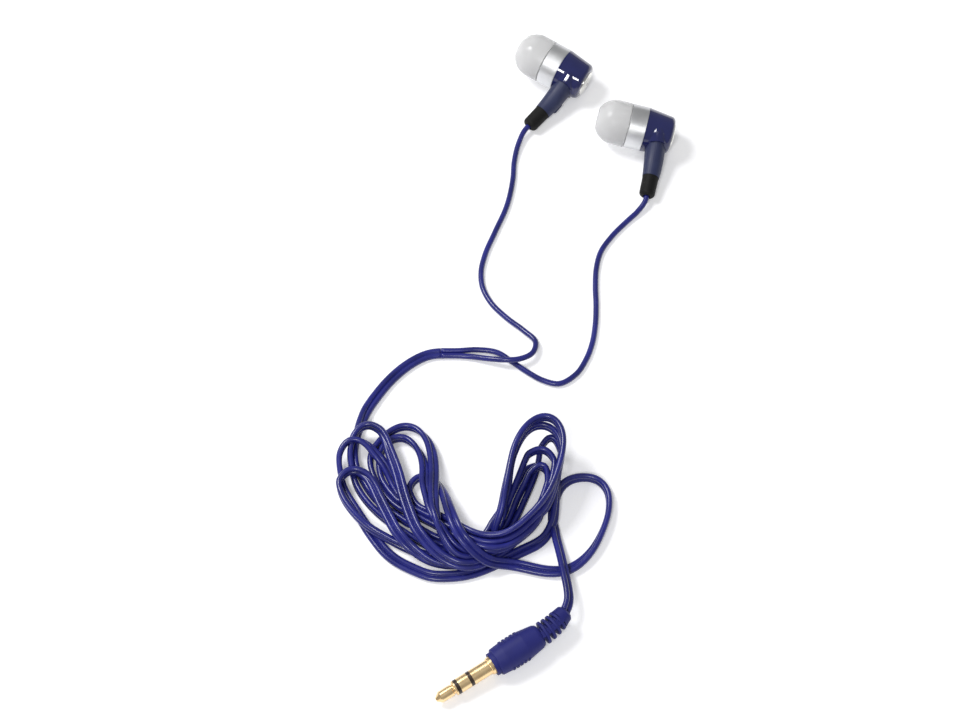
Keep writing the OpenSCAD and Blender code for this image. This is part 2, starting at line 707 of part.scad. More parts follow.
// The hard inner mould grips the contacts' rear ends
core_r = jack_r + 0.5;
core_len = 7;
module plug_core() {
    color([0.15, 0.15, 0.15]) place_plug() difference() {
        disc(core_r, 0, core_len);
        disc(shank_r + nest_gap, -step, nest_end - nest_stagger + nest_gap);
        disc(nest_3 + nest_gap, 0, nest_end + nest_gap);
        disc(nest_2 + nest_gap, 0, nest_end + nest_stagger + nest_gap);
        disc(nest_1 + nest_gap, 0, nest_end + 2 * nest_stagger + nest_gap);
        disc(pin_r + nest_gap, 0, nest_end + 3 * nest_stagger + nest_gap);
    }
}

// A ring of the strain relief with rounded edges
module relief_ring(radius, width) {
    edge = 0.2;
    turned([
        [0, 0], [radius - edge, 0], [radius - edge * 0.3, edge * 0.3], [radius, edge],
        [radius, width - edge], [radius - edge * 0.3, width - edge * 0.3],
        [radius - edge, width], [0, width]
    ]);
}
module at_relief(s) translate(relief_centre(s)) rotate([0, 0, relief_angle(s)]) children();

// Rings stand apart on one core, joined by a web above and below, and the relief bends
module strain_relief() {
    pitch = (relief_len - relief_collar_w) / relief_rings;
    for (k = [0 : relief_rings - 1]) {
        radius = (relief_d + (relief_last_d - relief_d) * k / (relief_rings - 1)) / 2;
        at_relief((k + 1) * pitch - relief_ring_w - 0.12) relief_ring(radius, relief_ring_w);
        at_relief(k * pitch - 0.1) {
            disc(relief_core_d / 2, 0, pitch + 0.2);
            rotate([grip_turn, 0, 0])
                translate([0, -relief_core_d / 4, -relief_last_d / 2 + 0.2])
                    cube([pitch + 0.2, relief_core_d / 2, relief_last_d - 0.4]);
        }
    }
    at_relief(relief_len - relief_collar_w) turned([
        [0, 0], [relief_collar_d / 2, 0], [relief_end_d / 2 + 0.1, relief_collar_w - 0.5],
        [relief_end_d / 2 - 0.4, relief_collar_w], [0, relief_collar_w]
    ]);
}

// Soft overmould: stepped front, two ribbed grip pads, and the strain relief in one piece
module plug_barrel() {
    rib_w = 0.45;
    rib_pitch = 1;
    pad_half = 1.9;
    widest = barrel_mid_d / 2;
    color([0.18, 0.2, 0.5]) place_plug() {
        difference() {
            union() {
                turned([
                    [0, 0], [barrel_front_d / 2, 0], [barrel_front_d / 2, barrel_step],
                    [barrel_d / 2 - 0.15, barrel_step], [barrel_d / 2, barrel_step + 0.15],
                    [widest, grip_at], [widest, grip_at + grip_ribs * rib_pitch],
                    [barrel_end_d / 2 + 0.3, barrel_len - 0.9],
                    [barrel_end_d / 2, barrel_len - 0.3], [barrel_end_d / 2 - 0.4, barrel_len],
                    [0, barrel_len]
                ]);
                intersection() {
                    for (k = [0 : grip_ribs - 1])
                        disc(widest + grip_rise, grip_at + k * rib_pitch + 0.2,
                            grip_at + k * rib_pitch + 0.2 + rib_w);
                    rotate([grip_turn, 0, 0]) translate([0, -barrel_mid_d, -pad_half])
                        cube([barrel_len, 2 * barrel_mid_d, 2 * pad_half]);
                }
            }
            disc(core_r + fit, -step, core_len + fit);
        }
        strain_relief();
    }
}

// Each leg leaves its boot straight and ends side by side with the other at the join
function leg_route(side, route, offset) = concat(
    [cord_start(side), cord_start(side) + run_out * cord_way(side)],
    route,
    [join + [4, offset, 0], join + [0, offset, 0]]
);
module left_leg_cord() {
    color([0.2, 0.22, 0.52]) cord(leg_route(LEFT, left_route, -leg_gap), strand_r, strand_r);
}
module right_leg_cord() {
    color([0.2, 0.22, 0.52]) cord(leg_route(RIGHT, right_route, leg_gap), strand_r, strand_r);
}
module cord_lead() {
    color([0.2, 0.22, 0.52]) cord(concat([join, join - [2, 0, 0]], lead_route),
        strand_d, strand_r);
}
module cord_tail() {
    color([0.2, 0.22, 0.52]) cord(concat(tail_route, [tail_end + 1.5 * tail_way, tail_end]),
        strand_d, strand_r);
}

// The folded cord's outer shape: two lobes that meet at the fold nearest the plug
module hank_lobe(ends, height) {
    linear_extrude(height) hull()
        for (e = ends) translate([e[0], e[1]]) circle(r = e[2], $fn = 32);
}
module cord_hank() {
    fold_left = [-41, -119, hank_fold_r];
    fold_right = [-30, -118, hank_fold_r];
    color([0.2, 0.22, 0.52]) {
        hank_lobe([[-53, -99.5, hank_left_r], [-47, -97, hank_left_r - 2], fold_left], hank_left_h);
        hank_lobe([fold_left, fold_right], hank_left_h);
        hank_lobe([fold_right, [-25, -113, 7], [-14, -97, hank_right_r]], hank_right_h);
    }
}

ear_tip(LEFT);  // left_ear_tip
front_ring(LEFT);  // left_front_ring
nozzle(LEFT);  // left_nozzle
nozzle_mesh(LEFT);  // left_nozzle_mesh
diaphragm(LEFT);  // left_diaphragm
voice_coil(LEFT);  // left_voice_coil
pole_plate(LEFT);  // left_pole_plate
magnet(LEFT);  // left_magnet
yoke(LEFT);  // left_yoke
driver_frame(LEFT);  // left_driver_frame
terminal_board(LEFT);  // left_terminal_board
rear_housing(LEFT);  // left_rear_housing
rear_disc(LEFT);  // left_rear_disc
stem(LEFT);  // left_stem
cable_boot(LEFT);  // left_cable_boot
ear_tip(RIGHT);  // right_ear_tip
front_ring(RIGHT);  // right_front_ring
nozzle(RIGHT);  // right_nozzle
nozzle_mesh(RIGHT);  // right_nozzle_mesh
diaphragm(RIGHT);  // right_diaphragm
voice_coil(RIGHT);  // right_voice_coil
pole_plate(RIGHT);  // right_pole_plate
magnet(RIGHT);  // right_magnet
yoke(RIGHT);  // right_yoke
driver_frame(RIGHT);  // right_driver_frame
terminal_board(RIGHT);  // right_terminal_board
rear_housing(RIGHT);  // right_rear_housing
rear_disc(RIGHT);  // right_rear_disc
stem(RIGHT);  // right_stem
cable_boot(RIGHT);  // right_cable_boot
plug_tip();
plug_front_insulator();
plug_ring();
plug_rear_insulator();
plug_sleeve();
plug_core();
plug_barrel();
left_leg_cord();
right_leg_cord();
cord_lead();
cord_hank();
cord_tail();
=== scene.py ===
import math

import bpy
import numpy as np
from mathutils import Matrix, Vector


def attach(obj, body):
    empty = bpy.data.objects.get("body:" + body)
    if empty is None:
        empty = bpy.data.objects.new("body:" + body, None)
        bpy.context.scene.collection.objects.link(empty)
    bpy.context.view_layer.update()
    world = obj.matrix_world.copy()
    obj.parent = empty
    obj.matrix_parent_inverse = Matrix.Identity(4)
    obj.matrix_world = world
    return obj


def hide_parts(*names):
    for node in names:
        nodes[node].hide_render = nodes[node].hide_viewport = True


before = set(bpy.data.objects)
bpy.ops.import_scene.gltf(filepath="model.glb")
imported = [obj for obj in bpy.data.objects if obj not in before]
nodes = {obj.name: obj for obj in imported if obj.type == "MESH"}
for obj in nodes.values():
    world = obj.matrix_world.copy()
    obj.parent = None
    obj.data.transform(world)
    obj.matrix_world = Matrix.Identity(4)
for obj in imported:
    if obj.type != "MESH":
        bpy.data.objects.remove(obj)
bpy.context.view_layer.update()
scene = bpy.context.scene
mm = 0.001

# ---------------------------------------------------------------------------
# Camera
# It looks down at the earphones from the plug's end, as a person at a table does. A long lens
# at half a metre keeps the ear tips and the plug at nearly one scale.
# ---------------------------------------------------------------------------
view_distance = 490 * mm
view_elevation = math.radians(60)
view_target = Vector((-28.3, -72.1, 0)) * mm
lens = bpy.data.cameras.new("camera")
lens.sensor_width = 36
lens.lens = 74.15
lens.clip_start = 0.01
camera = bpy.data.objects.new("camera", lens)
scene.collection.objects.link(camera)
away = Vector((0, -math.cos(view_elevation), math.sin(view_elevation)))
camera.location = view_target + away * view_distance
camera.rotation_euler = (-away).to_track_quat("-Z", "Y").to_euler()
scene.camera = camera
scene.view_settings.view_transform = "Standard"

# ---------------------------------------------------------------------------
# Single legs of the cord
# Each is one extruded PVC strand 1.4 mm round, soldered inside an earpiece and pulled through
# its rubber boot. The two legs meet at the join, where the twin cord's web has been parted.
# ---------------------------------------------------------------------------
strand_r = 0.7
leg_spacing = 0.7
join = np.array([-39.2, -69.5, 0.75])
leg_gap = 0.72
leg_routes = {
    "left": [
        (-16.15, -0.52, 2.3), (-17.9, -2.4, 1.9), (-19.6, -6.2, 1.3), (-20.8, -11.6, 0.75),
        (-21.2, -17.1, 0.75), (-22.8, -25.6, 0.75), (-26, -34.1, 0.75), (-28.4, -40.6, 0.75),
        (-29.4, -45.6, 0.75), (-29.1, -50.1, 0.75), (-27.1, -54.7, 0.75), (-23.1, -59.3, 0.75),
        (-18.7, -63.3, 1), (-16, -66.7, 1.5), (-16.8, -70.1, 2), (-20.2, -72.1, 2.4),
        (-23.7, -72.3, 2.4), (-27.7, -71.5, 1.6), (-32.2, -70.5, 0.9),
        join + (4, -leg_gap, 0), join + (0, -leg_gap, 0)],
    "right": [
        (13.21, -22.48, 2.3), (12.6, -25, 1.9), (10.6, -27.7, 1.1), (7.8, -30.5, 0.75),
        (3.8, -35.1, 0.75), (0.8, -39.9, 0.75), (-0.4, -44.6, 0.75), (-0.8, -50.1, 0.75),
        (-0.8, -56.1, 0.75), (-1.2, -61.9, 0.75), (-2, -66.5, 0.75), (-3.6, -71.1, 0.75),
        (-6.4, -75.6, 0.75), (-10.6, -78.1, 0.75), (-14.4, -77.1, 0.75), (-18.2, -74.7, 0.75),
        (-21.8, -71.9, 0.75), (-25.4, -69.3, 0.75), (-30.2, -68.5, 0.75),
        join + (4, leg_gap, 0), join + (0, leg_gap, 0)]}


def smooth_path(points, spacing):
    """Evenly spaced points on the smooth curve through the given ones. Between two points the
    curve is a cubic, and its slope at a point is the mean of the slopes before and after it, each
    weighted by the other's length."""
    points = np.asarray(points, float)
    gap = np.linalg.norm(np.diff(points[:, :3], axis=0), axis=1)
    way = np.diff(points, axis=0) / gap[:, None]
    inner = (way[:-1] * gap[1:, None] + way[1:] * gap[:-1, None]) / (gap[:-1] + gap[1:])[:, None]
    slope = np.vstack([way[:1], inner, way[-1:]])
    at = np.concatenate([[0], np.cumsum(gap)])
    s = np.linspace(0, at[-1], int(4 * at[-1] / spacing))
    i = np.clip(np.searchsorted(at, s, side="right") - 1, 0, len(gap) - 1)
    g = gap[i][:, None]
    t = (s - at[i])[:, None] / g
    fine = ((1 + 2 * t) * (1 - t) ** 2 * points[i] + t * (1 - t) ** 2 * g * slope[i]
            + t ** 2 * (3 - 2 * t) * points[i + 1] - t ** 2 * (1 - t) * g * slope[i + 1])
    run = np.concatenate([[0], np.cumsum(np.linalg.norm(np.diff(fine[:, :3], axis=0), axis=1))])
    even = np.linspace(0, run[-1], int(round(run[-1] / spacing)) + 1)
    return np.stack([np.interp(even, run, fine[:, k]) for k in range(points.shape[1])], 1)


def unit(v):
    """Vectors along the last axis, each divided by its length."""
    return v / np.linalg.norm(v, axis=-1, keepdims=True)


def skin(name, rings, joined=False):
    """A mesh over an array of rings of points in millimetres: one quad from each point of a ring
    to the same point of the next ring. The last ring is joined to the first, or else each end
    gets one flat face. Rings turn clockwise seen from ahead, so that faces point outwards."""
    count, sides = rings.shape[:2]
    i, j = np.meshgrid(np.arange(count if joined else count - 1), np.arange(sides), indexing="ij")
    this, ahead = i * sides, (i + 1) % count * sides
    beside = (j + 1) % sides
    faces = np.stack([this + j, ahead + j, ahead + beside, this + beside], 2)
    faces = faces.reshape(-1, 4).tolist()
    if not joined:
        faces.append(list(range(sides)))
        faces.append(list(range(count * sides - 1, (count - 1) * sides - 1, -1)))
    mesh = bpy.data.meshes.new(name)
    mesh.from_pydata((rings.reshape(-1, 3) * mm).tolist(), [], faces)
    mesh.polygons.foreach_set("use_smooth", [True] * len(faces))
    obj = bpy.data.objects.new(name, mesh)
    scene.collection.objects.link(obj)
    return obj


def carry(profile, path, across):
    """Carries a flat profile along a path: each ring is the path's point, plus the profile's x
    times the direction across, plus its y times the direction at right angles to that and to the
    path."""
    way = unit(np.gradient(path, axis=0))
    across = unit(across - (across * way).sum(1)[:, None] * way)
    up = np.cross(across, way)
    return (path[:, None] + profile[None, :, :1] * across[:, None]
            + profile[None, :, 1:] * up[:, None])


def level_across(path):
    """The level direction at right angles to the path at each of its points."""
    return unit(np.cross(np.gradient(path, axis=0), [0, 0, 1]))


def linear(hex_colour):
    """An sRGB hex colour as a linear one: each channel c is c / 12.92 in the darkest part, and
    ((c + 0.055) / 1.055) to the power 2.4 above it."""
    srgb = [int(hex_colour[k:k + 2], 16) / 255 for k in (1, 3, 5)]
    return [c / 12.92 if c <= 0.04045 else ((c + 0.055) / 1.055) ** 2.4 for c in srgb] + [1]


def add(material, kind, **given):
    """Adds one node. Each given value sets the node's setting or input of that name, where an
    underscore stands for a space, and an output given for an input is linked to it."""
    node = material.node_tree.nodes.new("ShaderNode" + kind)
    inputs = {}
    for name, value in given.items():
        if hasattr(node, name):
            setattr(node, name, value)
        else:
            inputs[name.replace("_", " ")] = value
    for name, value in inputs.items():
        if isinstance(value, bpy.types.NodeSocket):
            material.node_tree.links.new(value, node.inputs[name])
        else:
            node.inputs[name].default_value = value
    return node


def finish(name, dark, light, patch, rough, grain, depth, **constants):
    """A Principled material whose colour drifts between two hex values over patches of the given
    size in millimetres, whose roughness drifts with it between two values, and whose surface has
    a grain of the given size and depth in millimetres."""
    material = bpy.data.materials.new(name)
    material.use_nodes = True
    shader = material.node_tree.nodes["Principled BSDF"]
    place = add(material, "TexCoord").outputs["Object"]
    drift = add(material, "TexNoise", Vector=place, Scale=1 / (patch * mm), Detail=3.0)
    ramp = add(material, "ValToRGB", Fac=drift.outputs["Fac"])
    ramp.color_ramp.elements[0].position = 0.3
    ramp.color_ramp.elements[1].position = 0.7
    ramp.color_ramp.elements[0].color = linear(dark)
    ramp.color_ramp.elements[1].color = linear(light)
    sheen = add(material, "MapRange", Value=drift.outputs["Fac"], From_Min=0.3, From_Max=0.7,
                To_Min=rough[0], To_Max=rough[1])
    fine = add(material, "TexNoise", Vector=place, Scale=1 / (grain * mm), Detail=2.0)
    bump = add(material, "Bump", Height=fine.outputs["Fac"], Distance=depth * mm, Strength=1.0)
    links = material.node_tree.links
    links.new(ramp.outputs["Color"], shader.inputs["Base Color"])
    links.new(sheen.outputs["Result"], shader.inputs["Roughness"])
    links.new(bump.outputs["Normal"], shader.inputs["Normal"])
    for socket, value in constants.items():
        shader.inputs[socket.replace("_", " ")].default_value = value
    return material


# Soft PVC, extruded and then drawn through water: it keeps a low, slightly oily gloss, and the
# drag is so faint that the highlights run on along each lobe.
cord_pvc = finish("extruded_blue_pvc", "#1A1E62", "#23277D", 6, (0.24, 0.3), 2.0, 0.004)
leg_turn = np.arange(14) * math.tau / 14
round_profile = strand_r * np.stack([np.cos(leg_turn), np.sin(leg_turn)], 1)
for side, route in leg_routes.items():
    path = smooth_path(route, leg_spacing)
    leg = skin(side + "_leg", carry(round_profile, path, level_across(path)))
    leg.data.materials.append(cord_pvc)
    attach(leg, "root")
    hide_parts(side + "_leg_cord")

# ---------------------------------------------------------------------------
# Twin cord
# From the join to the plug the two strands are one figure-8 extrusion, 2.8 by 1.4 mm. Most of
# it is folded to and fro into a loose hank of six bights on each side, standing on edge where
# it bends and flat where it lies over other turns. A short loop brings it back to the plug.
# ---------------------------------------------------------------------------
# Each row is x, y, the height, and how far the pair is turned from flat (0) to on edge (90).
twin_route = [
    # from the join round to the hank, under everything
    (-39.2, -69.5, 0.75, 0), (-41.2, -69.5, 0.75, 0), (-43.8, -70.5, 0.75, 0),
    (-47.5, -73, 0.8, 0), (-51.5, -77, 0.8, 0), (-54, -80.5, 1, 0), (-55.5, -83, 1.2, 0),
    (-57, -85.5, 1.4, 20), (-58, -88.5, 1.6, 40), (-59, -91.5, 1.7, 60), (-59.5, -95, 1.6, 90),
    (-59.5, -98.5, 1.4, 90), (-59, -101.5, 1.4, 90), (-57.5, -104.5, 1.4, 90),
    (-55.5, -108, 1.4, 90), (-53, -111, 1.4, 90), (-50, -113.5, 1.4, 90), (-46, -116.5, 1.4, 90),
    (-41.5, -119.5, 1.4, 90), (-36, -121.5, 1.4, 90), (-29.5, -121.5, 1.4, 90),
    # first bight to the right, low
    (-25.5, -119, 1.6, 90), (-23, -115.5, 2.4, 90), (-21.5, -111.5, 3.4, 90),
    (-19.5, -108, 4.8, 90), (-18, -105.5, 5.8, 90), (-17, -103, 6.6, 90), (-15, -101.5, 7.2, 90),
    (-13.5, -101.5, 7.2, 90), (-12.5, -103.5, 6.8, 90), (-13, -107, 6, 90),
    (-14.5, -111.5, 4.8, 90), (-17, -116, 3.6, 90), (-20.5, -120, 2.6, 90), (-24, -123, 2.2, 90),
    # first bight to the left, on top
    (-27.5, -125.5, 2.6, 90), (-31, -127, 3, 90), (-34.5, -127, 3.2, 90), (-39, -125, 4, 70),
    (-42, -122, 4.6, 40), (-44.5, -118.5, 4.8, 20), (-46, -114.5, 4.8, 10),
    (-47.5, -110, 4.8, 10), (-49, -104, 4.8, 10), (-51, -98.5, 4.8, 30), (-52.5, -94, 4.8, 70),
    (-55.5, -91, 4.6, 90), (-57.5, -91, 4.4, 90), (-59, -92.5, 4.2, 90), (-60, -95.5, 3.8, 90),
    (-60.5, -98, 3, 90),
    # back under the left lobe
    (-60, -101, 2.2, 90), (-59, -105.5, 1.4, 90), (-56, -110.5, 1.4, 90), (-51.5, -115, 1.4, 90),
    (-46.5, -118.5, 1.4, 90), (-41.5, -121.5, 1.4, 90), (-36, -123.5, 1.4, 90),
    (-29.5, -123, 1.4, 90),
    # second bight to the right, round the back
    (-25, -120, 1.5, 90), (-22, -116, 2, 90), (-19.5, -111, 2.5, 90), (-17.5, -106.5, 3, 90),
    (-16, -102.5, 4, 90), (-15.5, -99, 5, 90), (-15, -96.5, 6, 90),
    # over its back and down again, outermost
    (-14, -94, 6.5, 90), (-13, -93.5, 6.5, 90), (-11.5, -94, 6.5, 90), (-10.5, -96.5, 6, 90),
    (-10.5, -99, 5, 90), (-11.5, -105.5, 4, 90), (-12, -111.5, 3, 90), (-12.5, -115.5, 2.2, 90),
    (-13.5, -118.5, 1.6, 75), (-16, -121, 1.2, 50),
    # the outer strand along the front
    (-18.5, -122, 0.8, 25), (-21.5, -123.5, 0.8, 0), (-25.5, -125.5, 0.8, 0),
    (-29, -127, 0.8, 0), (-33, -128.5, 0.8, 0), (-37.5, -129, 0.8, 0), (-41, -129, 0.8, 0),
    (-44.5, -127.5, 0.8, 0), (-48.5, -125.5, 0.8, 0), (-51.5, -123, 0.8, 0),
    (-54, -119.5, 0.8, 10), (-56.5, -116, 1.2, 50), (-59, -111.5, 1.4, 90),
    (-61.5, -107, 1.4, 90),
    # second bight to the left
    (-62.5, -103, 1.8, 90), (-63, -100.5, 2.8, 90), (-62.5, -97.5, 3.8, 90),
    (-61, -95.5, 4.2, 90), (-58.5, -95, 4.2, 80), (-56.5, -96.5, 4, 60), (-54.5, -99, 3.4, 30),
    (-52.5, -101, 2.6, 10), (-51, -104.5, 1.8, 10), (-49.5, -108.5, 1.4, 40),
    # under the first, to the right
    (-47.5, -113, 1.4, 90), (-45, -117, 1.4, 90), (-41.5, -120.5, 1.4, 90),
    (-37, -122.5, 1.4, 90), (-32, -123, 1.4, 90),
    # third bight to the right, lowest
    (-27, -120.5, 1.4, 90), (-24, -116, 1.4, 90), (-22, -111.5, 1.4, 90),
    (-20.5, -106.5, 1.4, 90), (-19, -102.5, 1.4, 90), (-17, -100, 1.4, 90), (-15, -99, 1.4, 90),
    (-13.5, -99.5, 1.4, 90), (-12.5, -102, 1.4, 90), (-13.5, -106, 1.4, 90),
    (-15.5, -111, 1.4, 90), (-18, -115.5, 1.4, 90), (-21.5, -119.5, 1.4, 90),
    (-26, -122.5, 1.4, 90),
    # its way back and up
    (-31.5, -126, 1.4, 90), (-37, -126.5, 1.4, 90), (-41.5, -125.5, 2, 80),
    (-44.5, -123.5, 3, 60), (-47, -121.5, 4, 40), (-49, -119, 4.2, 20), (-50.5, -116, 4.2, 10),
    (-52, -113, 4.2, 10), (-53.5, -110, 4.2, 10), (-55, -106.5, 4.2, 20),
    # third bight to the left
    (-57, -104, 4.2, 60), (-59, -102.5, 4.2, 90), (-61, -103, 4.2, 90), (-62.5, -104.5, 4.2, 90),
    (-63, -106.5, 4, 90), (-62.5, -108.5, 4, 90), (-61.5, -111, 4, 90), (-59, -114.5, 4, 90),
    (-56, -117.5, 3.6, 90),
    # under itself
    (-52.5, -119.5, 2.6, 90), (-47.5, -122, 1.8, 90), (-42.5, -124, 1.4, 90),
    (-37, -124.5, 1.4, 90), (-31.5, -123.5, 1.4, 90),
    # fourth bight to the right
    (-27.5, -120, 2.6, 90), (-25, -116.5, 4.2, 90), (-23, -113, 5.2, 90),
    (-21.5, -108.5, 6.2, 90), (-20, -105, 7, 90), (-18.5, -101, 7.4, 90),
    (-16.5, -98.5, 7.7, 90), (-14, -98, 7.8, 90), (-12.5, -99.5, 7.6, 90),
    (-12, -102.5, 7.2, 90), (-13, -108, 6.4, 90), (-14.5, -113, 5.4, 90), (-17.5, -118, 4.4, 90),
    (-21, -121, 3.8, 90), (-24.5, -123.5, 3.5, 90), (-28.5, -124, 3.5, 90), (-32, -123, 3.5, 90),
    (-34.5, -121, 3, 90),
    # across the front and under
    (-37.5, -118.5, 2.2, 90), (-41, -116, 1.8, 90), (-44.5, -114, 1.4, 90),
    (-47.5, -112.5, 1.4, 90), (-49.5, -110.5, 1.4, 90), (-51.5, -107.5, 1.4, 90),
    (-53.5, -104.5, 1.4, 90), (-55, -101.5, 1.4, 90), (-55.5, -98, 1.4, 90), (-54, -95, 1.4, 90),
    # fourth bight to the left
    (-52, -92.5, 1.4, 90), (-49.5, -90.5, 1.4, 90), (-46.5, -90, 1.4, 90), (-44, -91.5, 1.6, 80),
    (-42, -94.5, 2.4, 50), (-41, -98, 3.2, 20), (-40.5, -102.5, 4, 10), (-40.5, -107, 5, 10),
    (-40.5, -112, 6, 10), (-40, -116.5, 6.6, 30), (-38.5, -120, 6.2, 60), (-37, -122.5, 5, 90),
    (-35.5, -124.5, 3.8, 90), (-33, -125.5, 3, 90), (-30.5, -125, 2.6, 90),
    # up again
    (-28.5, -123.5, 2.2, 90), (-27.5, -121, 2, 90),
    # fifth bight to the right
    (-26.5, -119, 3, 90), (-25, -117, 5, 90), (-24, -113.5, 6.4, 90), (-23, -109.5, 7.4, 90),
    (-22.5, -105, 8.2, 90), (-21, -100, 8.8, 90), (-19, -96, 9.2, 90), (-16.5, -94, 9.2, 90),
    (-14, -94, 9.2, 90), (-12, -95.5, 9.2, 90), (-10.5, -98.5, 9, 90), (-11, -103, 8.4, 90),
    (-12, -106.5, 7.8, 90), (-13.5, -111.5, 7, 90), (-16, -116, 6.2, 90), (-19, -119, 5.6, 90),
    (-23, -122, 5.2, 90), (-27, -123, 4.9, 90), (-30.5, -122.5, 4.9, 90), (-33, -120.5, 4.6, 90),
    # across the front
    (-37, -118, 3.8, 80), (-40, -115.5, 2.8, 80), (-44, -113, 2.2, 90), (-47.5, -111.5, 1.8, 90),
    (-50, -109, 1.4, 90), (-52.5, -106, 1.4, 90), (-53.5, -102.5, 1.4, 90),
    (-53.5, -99, 1.4, 90), (-53, -96, 1.4, 90),
    # fifth bight to the left
    (-50.5, -93.5, 1.4, 90), (-48, -93, 1.4, 90), (-45.5, -95, 1.6, 90), (-43.5, -98.5, 2.6, 60),
    (-42.5, -102.5, 3.6, 20), (-42.5, -107, 5, 10), (-41.5, -111, 5.8, 10),
    (-40.5, -115.5, 6.4, 40), (-38.5, -119, 6, 80), (-36.5, -122.5, 4.6, 90),
    (-33.5, -124.5, 3, 90), (-31, -125, 1.8, 90), (-28.5, -124, 1.5, 90),
    # up again
    (-27, -122.5, 1.5, 90), (-26.5, -120.5, 2.2, 90),
    # last bight to the right, on top
    (-26.5, -118.5, 3.8, 90), (-25.5, -117, 6, 90), (-24.5, -114.5, 8, 90),
    (-24, -111.5, 9.4, 90), (-23, -107, 10.6, 90), (-22, -102, 11.4, 90), (-20, -97.5, 12, 90),
    (-17.5, -94.5, 12, 90), (-14, -93, 12, 90), (-12, -94, 12, 90), (-10.5, -96.5, 12, 90),
    (-10, -99.5, 11.8, 90), (-10.5, -103, 11.2, 90), (-11.5, -106.5, 10.4, 90),
    (-13.5, -111.5, 9.4, 90), (-16, -115, 8.6, 90), (-19, -118, 7.8, 90), (-22, -120.5, 7.2, 90),
    (-25, -121.5, 6.6, 90), (-28.5, -121.5, 6.3, 90), (-31.5, -120.5, 6, 90),
    (-34.5, -118.5, 5.4, 90),
    # across the front
    (-38.5, -116, 4, 80), (-41.5, -114, 2.6, 80), (-44, -113, 2, 90), (-45.5, -110, 1.6, 90),
    (-46.5, -107.5, 1.4, 90), (-46.5, -105, 1.4, 90), (-45.5, -103.5, 1.4, 90),
    # last bight to the left, short, and over the front
    (-44, -102.5, 1.4, 90), (-42, -103, 1.4, 90), (-40, -105, 1.8, 80), (-38.5, -108.5, 4, 50),
    (-37.5, -112, 6, 20), (-36.5, -116, 8, 10), (-35.5, -119, 8.6, 0), (-34.5, -121.5, 8.4, 0),
    (-32.5, -123.5, 7.2, 0), (-30.5, -125, 5.4, 0), (-28, -126, 3, 0),
    # the loop out to the right and back over itself to the plug
    (-23.4, -125.7, 0.75, 0), (-19, -126.7, 0.75, 0), (-14.6, -127.8, 0.75, 0),
    (-9.4, -127.6, 0.75, 20), (-4.6, -124, 1, 60), (-1.1, -118, 1.4, 90),
    (0.8, -111.1, 1.4, 90), (0.4, -106.9, 1.4, 90), (-1.7, -104.4, 1.4, 90),
    (-5.6, -103.8, 1.4, 90), (-9.2, -104.9, 1.4, 80), (-11.5, -108.2, 1.3, 55),
    (-12.3, -113, 1.2, 40), (-12.1, -118.3, 1.5, 40), (-11.1, -123.6, 2.6, 45),
    (-10.2, -129.4, 4, 50), (-9.5, -133.9, 4.6, 50), (-9.45, -138.1, 4.8, 50),
    (-10.28, -139.34, 4.69, 50)]


def ease(field, passes):
    """A field along a strand, made smoother: each pass moves every value half way to the mean of
    its two neighbours, and the ends stay."""
    for _ in range(passes):
        field[..., 1:-1, :] += 0.25 * (field[..., :-2, :] + field[..., 2:, :]
                                       - 2 * field[..., 1:-1, :])
    return field


def open_bends(path, tightest, passes):
    """A path whose tight bends are opened. Each pass finds every point's radius of bend, which is
    the product of the three sides over four times the area of the triangle that it makes with
    the points two before and two after it, and eases the path where that is under the limit."""
    for _ in range(passes):
        before, here, after = path[:-4], path[2:-2], path[4:]
        sides = (np.linalg.norm(here - before, axis=1) * np.linalg.norm(after - here, axis=1)
                 * np.linalg.norm(after - before, axis=1))
        area = np.linalg.norm(np.cross(here - before, after - before), axis=1) / 2
        tight = np.clip(1.3 - sides / (4 * area + 1e-9) / tightest, 0, 0.5) * 2
        tight = np.convolve(tight, np.ones(7), "same").clip(0, 1)[:, None]
        path[2:-2] += 0.25 * tight * (path[1:-3] + path[3:-1] - 2 * here)
    return path


# The radius that bends are opened towards, and how far off other turns are looked for.
tightest_bend, look_out = 2.4, 3
# Neighbours on its own run that a point takes no notice of, and points held still at each end.
own_points, held_ends = 5, 6
# Rounds between two searches for neighbours, how much of its shift a point keeps in a round, and
# how boldly it is pushed.
search_every, kept_shift, push_stride = 6, 0.97, 1.5
coarse_spacing, twin_spacing = 1.2, 0.6


